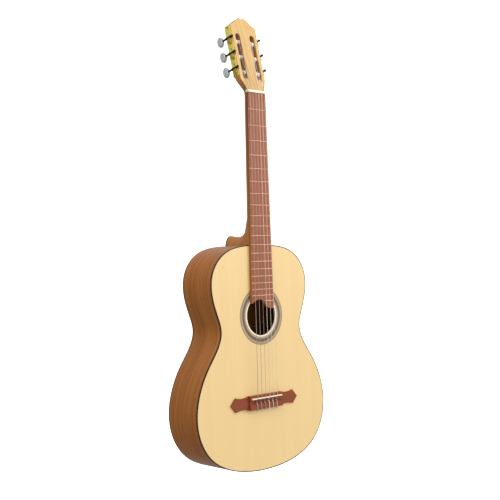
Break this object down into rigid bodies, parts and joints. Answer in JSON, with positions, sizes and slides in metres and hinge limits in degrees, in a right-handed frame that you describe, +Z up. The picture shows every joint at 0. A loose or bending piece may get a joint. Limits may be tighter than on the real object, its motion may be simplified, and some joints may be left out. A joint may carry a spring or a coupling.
{
  "type": "classical guitar",
  "caption": "Full-size classical guitar with pale top, dark-edged brown body, slotted head with geared tuners that turn, nylon strings, rosette and tie bridge.",
  "frame": {"origin": "the body's tail end, on the centre line, in the plane of the soundboard's outer face", "axes": "+Z up the neck from tail to head, -Y the way the soundboard faces, +Y towards the back, +X the treble side; the guitar stands upright"},
  "size_m": [0.373, 0.1059, 0.9736],
  "materials": {
    "spruce": "pale lengthwise grain under clear gloss",
    "rim_wood": "brown lengthwise grain under clear gloss",
    "binding": "near black, polished",
    "inner_wood": "unfinished",
    "rosette_light": "light wood strips with fine lines, under clear gloss",
    "rosette_dark": "dark wood mosaic, under clear gloss",
    "neck_wood": "honey brown under satin lacquer",
    "head_veneer": "pale lengthwise grain under clear gloss",
    "fret_metal": "polished crown",
    "dot_white": "polished flush",
    "board_wood": "reddish brown, open streaky grain, satin",
    "bone": "cream white, polished",
    "bridge_wood": "reddish brown, satin",
    "plate_brass": "yellow metal with pressed decoration",
    "dark_steel": "blackened",
    "pearl": "pearl grey",
    "gear_brass": "machined",
    "roller_white": "off-white, smooth",
    "plain_string": "clear smooth",
    "wound_string": "fine wound, silvery"
  },
  "bodies": {
    "guitar": {"soundboard": "spruce", "back": "rim_wood", "bass_side": "rim_wood", "treble_side": "rim_wood", "top_binding": "binding", "back_binding": "binding", "tail_block": "inner_wood", "neck_block": "inner_wood", "linings": "inner_wood", "rosette_rings": "rosette_light", "rosette_mosaic": "rosette_dark", "soundhole_patch": "inner_wood", "top_bars": "inner_wood", "back_bars": "inner_wood", "back_strip": "inner_wood", "bridge_patch": "inner_wood", "fan_struts": "inner_wood", "heel_cap": "binding", "neck": "neck_wood", "head_plate": "head_veneer", "frets": "fret_metal", "side_dots": "dot_white", "fingerboard": "board_wood", "nut": "bone", "saddle": "bone", "bridge": "bridge_wood", "tuner_plate_bass": "plate_brass", "tuner_plate_treble": "plate_brass", "plate_screws": "plate_brass", "worm_lugs": "dark_steel", "string_1": "plain_string", "string_2": "plain_string", "string_3": "plain_string", "string_4": "wound_string", "string_5": "wound_string", "string_6": "wound_string"},
    "key_1": {"worm_1": "dark_steel", "button_1": "pearl"},
    "barrel_1": {"gear_1": "gear_brass", "roller_1": "roller_white"},
    "key_2": {"worm_2": "dark_steel", "button_2": "pearl"},
    "barrel_2": {"gear_2": "gear_brass", "roller_2": "roller_white"},
    "key_3": {"worm_3": "dark_steel", "button_3": "pearl"},
    "barrel_3": {"gear_3": "gear_brass", "roller_3": "roller_white"},
    "key_4": {"worm_4": "dark_steel", "button_4": "pearl"},
    "barrel_4": {"gear_4": "gear_brass", "roller_4": "roller_white"},
    "key_5": {"worm_5": "dark_steel", "button_5": "pearl"},
    "barrel_5": {"gear_5": "gear_brass", "roller_5": "roller_white"},
    "key_6": {"worm_6": "dark_steel", "button_6": "pearl"},
    "barrel_6": {"gear_6": "gear_brass", "roller_6": "roller_white"}
  },
  "joints": [
    {"name": "key_1_turn", "type": "hinge", "parent": "guitar", "child": "key_1", "pos_m": [0.0401, 0.01714, 0.85729], "axis": [0, -0.9744, 0.225], "continuous": true},
    {"name": "barrel_1_turn", "type": "hinge", "parent": "guitar", "child": "barrel_1", "pos_m": [0.0401, 0.01539, 0.84969], "axis": [1, 0, 0], "continuous": true},
    {"name": "key_2_turn", "type": "hinge", "parent": "guitar", "child": "key_2", "pos_m": [0.0401, 0.02501, 0.8914], "axis": [0, -0.9744, 0.225], "continuous": true},
    {"name": "barrel_2_turn", "type": "hinge", "parent": "guitar", "child": "barrel_2", "pos_m": [0.0401, 0.02326, 0.8838], "axis": [1, 0, 0], "continuous": true},
    {"name": "key_3_turn", "type": "hinge", "parent": "guitar", "child": "key_3", "pos_m": [0.0401, 0.03289, 0.9255], "axis": [0, -0.9744, 0.225], "continuous": true},
    {"name": "barrel_3_turn", "type": "hinge", "parent": "guitar", "child": "barrel_3", "pos_m": [0.0401, 0.03113, 0.9179], "axis": [1, 0, 0], "continuous": true},
    {"name": "key_4_turn", "type": "hinge", "parent": "guitar", "child": "key_4", "pos_m": [-0.0401, 0.03289, 0.9255], "axis": [0, -0.9744, 0.225], "continuous": true},
    {"name": "barrel_4_turn", "type": "hinge", "parent": "guitar", "child": "barrel_4", "pos_m": [-0.0401, 0.03113, 0.9179], "axis": [1, 0, 0], "continuous": true},
    {"name": "key_5_turn", "type": "hinge", "parent": "guitar", "child": "key_5", "pos_m": [-0.0401, 0.02501, 0.8914], "axis": [0, -0.9744, 0.225], "continuous": true},
    {"name": "barrel_5_turn", "type": "hinge", "parent": "guitar", "child": "barrel_5", "pos_m": [-0.0401, 0.02326, 0.8838], "axis": [1, 0, 0], "continuous": true},
    {"name": "key_6_turn", "type": "hinge", "parent": "guitar", "child": "key_6", "pos_m": [-0.0401, 0.01714, 0.85729], "axis": [0, -0.9744, 0.225], "continuous": true},
    {"name": "barrel_6_turn", "type": "hinge", "parent": "guitar", "child": "barrel_6", "pos_m": [-0.0401, 0.01539, 0.84969], "axis": [1, 0, 0], "continuous": true}
  ],
  "couplings": [
    {"joint": "barrel_1_turn", "follows": "key_1_turn", "ratio": -0.071429},
    {"joint": "barrel_2_turn", "follows": "key_2_turn", "ratio": -0.071429},
    {"joint": "barrel_3_turn", "follows": "key_3_turn", "ratio": -0.071429},
    {"joint": "barrel_4_turn", "follows": "key_4_turn", "ratio": -0.071429},
    {"joint": "barrel_5_turn", "follows": "key_5_turn", "ratio": -0.071429},
    {"joint": "barrel_6_turn", "follows": "key_6_turn", "ratio": -0.071429}
  ]
}
